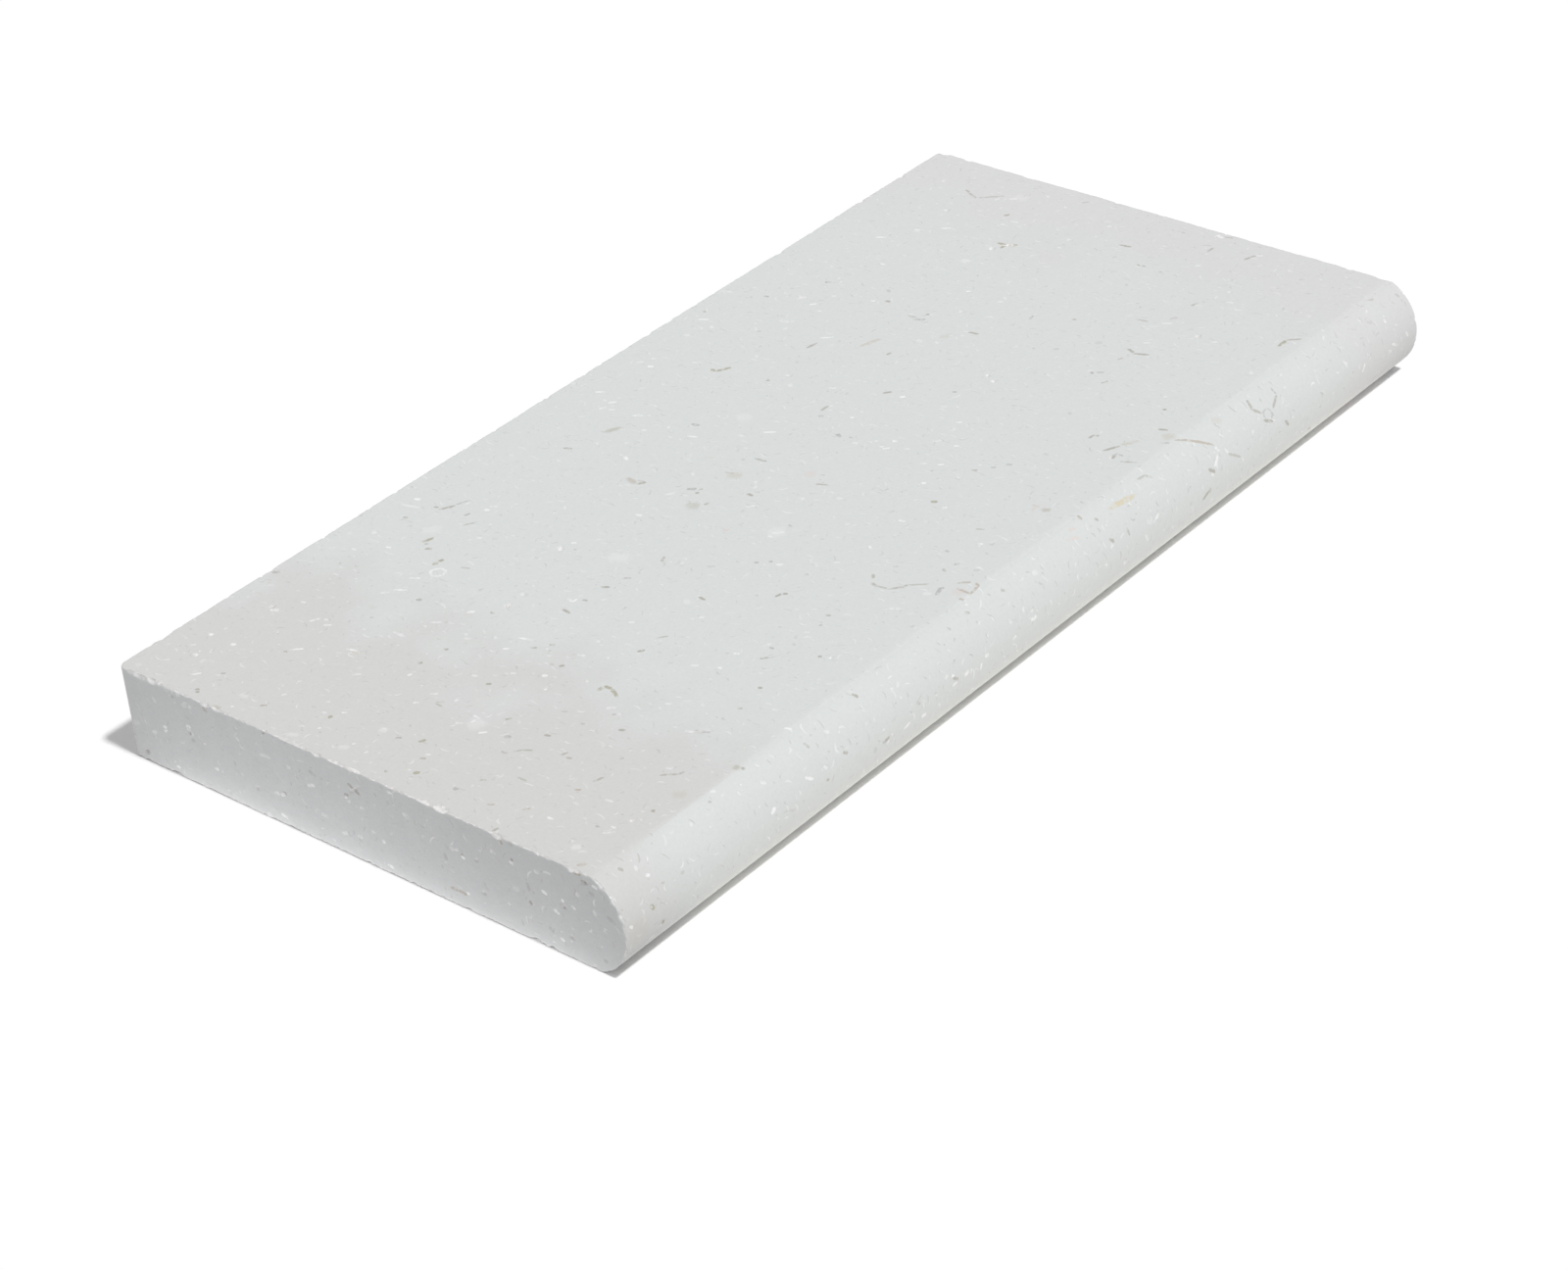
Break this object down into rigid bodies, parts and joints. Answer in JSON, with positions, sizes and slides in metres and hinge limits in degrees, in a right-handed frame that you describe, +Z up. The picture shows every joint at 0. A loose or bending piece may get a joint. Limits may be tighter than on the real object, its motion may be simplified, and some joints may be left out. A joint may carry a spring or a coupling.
{
  "type": "limestone pool coping",
  "caption": "Straight limestone pool coping slab with a bullnose edge on its water side, flat bed and sawn square ends.",
  "frame": {"origin": "middle of the bed, the flat face that the slab lies on", "axes": "+X along the slab, -Y towards the water, where the bullnose is, +Z up, out of the honed face"},
  "size_m": [0.61, 0.305, 0.049],
  "materials": {
    "limestone": "honed off-white shelly limestone, sawn ends, small open pits and shell marks"
  },
  "bodies": {
    "root": {"coping_slab": "limestone"}
  },
  "joints": []
}
